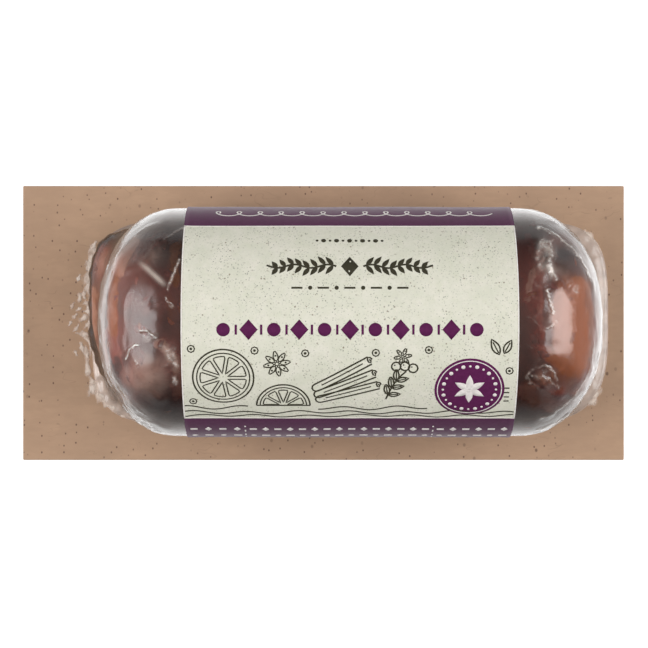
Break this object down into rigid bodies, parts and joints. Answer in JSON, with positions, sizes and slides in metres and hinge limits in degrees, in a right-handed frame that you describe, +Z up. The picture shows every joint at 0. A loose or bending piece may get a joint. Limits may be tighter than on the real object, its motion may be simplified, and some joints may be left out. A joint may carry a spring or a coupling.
{
  "type": "goat cheese log",
  "caption": "Fruit-coated goat cheese log under clear vacuum film on a flat kraft card, with a wrapped paper label.",
  "frame": {"origin": "middle of the card's flat underside, which the pack rests on", "axes": "+X along the log and the card's long side, +Y across the card, +Z up from the card through the log's crest"},
  "size_m": [0.114, 0.052, 0.0412],
  "materials": {
    "backing_card": "uncoated brown kraft board with fine specks",
    "sealed_cheese_log": "clear glossy vacuum film over a dark red-brown fruit and spice coating",
    "paper_label": "matte cream paper with a dark purple band along each side"
  },
  "bodies": {
    "root": {"backing_card": "backing_card", "sealed_cheese_log": "sealed_cheese_log", "paper_label": "paper_label"}
  },
  "joints": []
}
